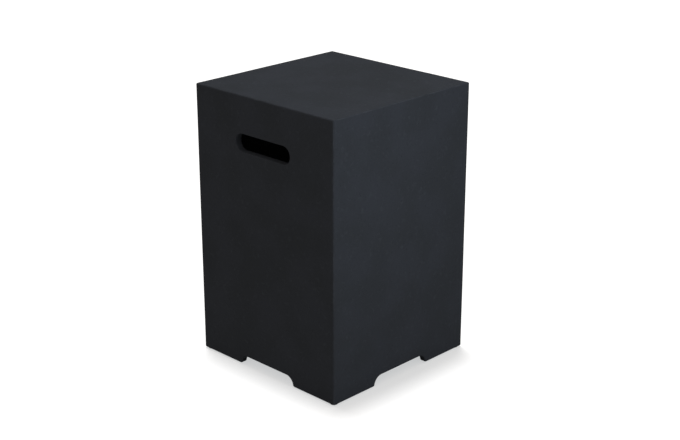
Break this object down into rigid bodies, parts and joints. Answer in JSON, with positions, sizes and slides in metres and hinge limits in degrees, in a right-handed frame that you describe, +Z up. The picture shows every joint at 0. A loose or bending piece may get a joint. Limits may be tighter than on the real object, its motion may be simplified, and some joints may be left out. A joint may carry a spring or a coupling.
{
  "type": "gas cylinder cover",
  "caption": "Square box-shaped cover in dark fibre concrete, open below, with hand slots near the top and arched floor notches, set over an upright gas cylinder.",
  "frame": {"origin": "on the floor, under the middle of the cover", "axes": "+Z up through the middle of the top; -Y out of the front wall, which has one of the two hand slots; +X to the right as seen from the front"},
  "size_m": [0.4, 0.4, 0.6],
  "materials": {
    "anthracite_fibre_concrete": "matt cast fibre concrete, dyed through, faintly clouded",
    "black_rubber": "matt"
  },
  "bodies": {
    "root": {"cover_shell": "anthracite_fibre_concrete", "foot_pad_front_left": "black_rubber", "foot_pad_front_right": "black_rubber", "foot_pad_rear_left": "black_rubber", "foot_pad_rear_right": "black_rubber"}
  },
  "joints": []
}
